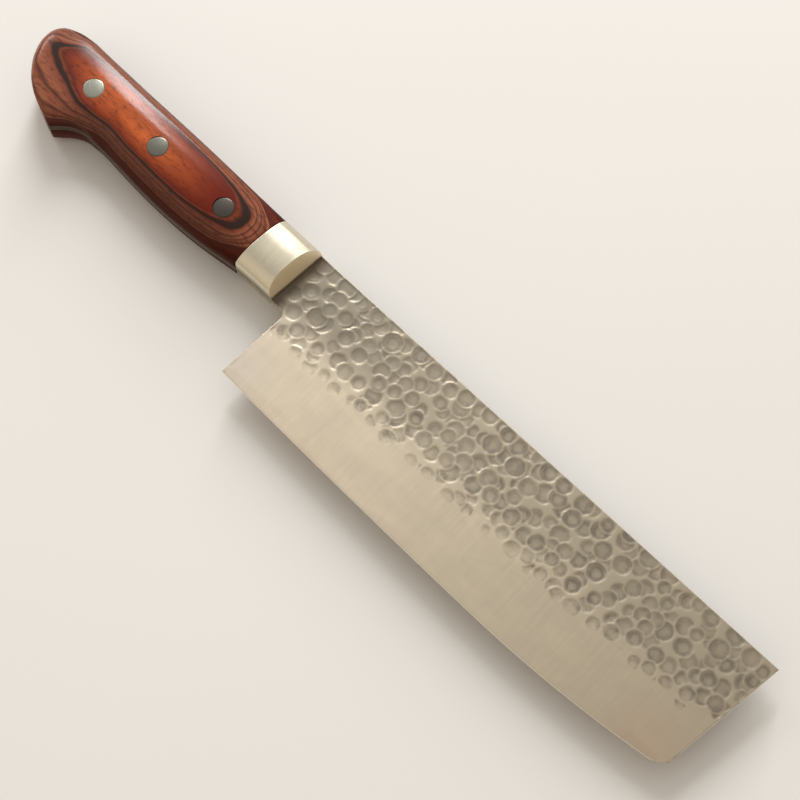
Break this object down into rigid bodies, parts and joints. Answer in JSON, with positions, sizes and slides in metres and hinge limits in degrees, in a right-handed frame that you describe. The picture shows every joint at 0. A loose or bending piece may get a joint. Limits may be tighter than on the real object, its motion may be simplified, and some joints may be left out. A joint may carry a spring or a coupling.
{
  "type": "nakiri knife",
  "caption": "Vegetable knife with a tall straight hammered blade, a steel bolster and a riveted layered wood handle.",
  "frame": {"origin": "centre of the footprint of the knife lying on its left side, level with the lowest point of the handle", "axes": "+X along the blade towards the tip, +Y towards the spine, +Z out of the right side of the blade"},
  "size_m": [0.2764, 0.0466, 0.0174],
  "materials": {
    "hard_steel": "satin, ground and honed",
    "clad_steel": "hammered above, satin ground below",
    "bolster_steel": "polished",
    "resin_wood": "polished layered resin wood",
    "epoxy": "cured glue line",
    "rivet_metal": "ground flush and polished"
  },
  "bodies": {
    "root": {"core_steel": "hard_steel", "cladding_right": "clad_steel", "cladding_left": "clad_steel", "bolster_right": "bolster_steel", "bolster_left": "bolster_steel", "bond_right": "epoxy", "bond_left": "epoxy", "scale_right": "resin_wood", "scale_left": "resin_wood", "front_rivet_socket": "rivet_metal", "front_rivet_pin": "rivet_metal", "middle_rivet_socket": "rivet_metal", "middle_rivet_pin": "rivet_metal", "rear_rivet_socket": "rivet_metal", "rear_rivet_pin": "rivet_metal"}
  },
  "joints": []
}
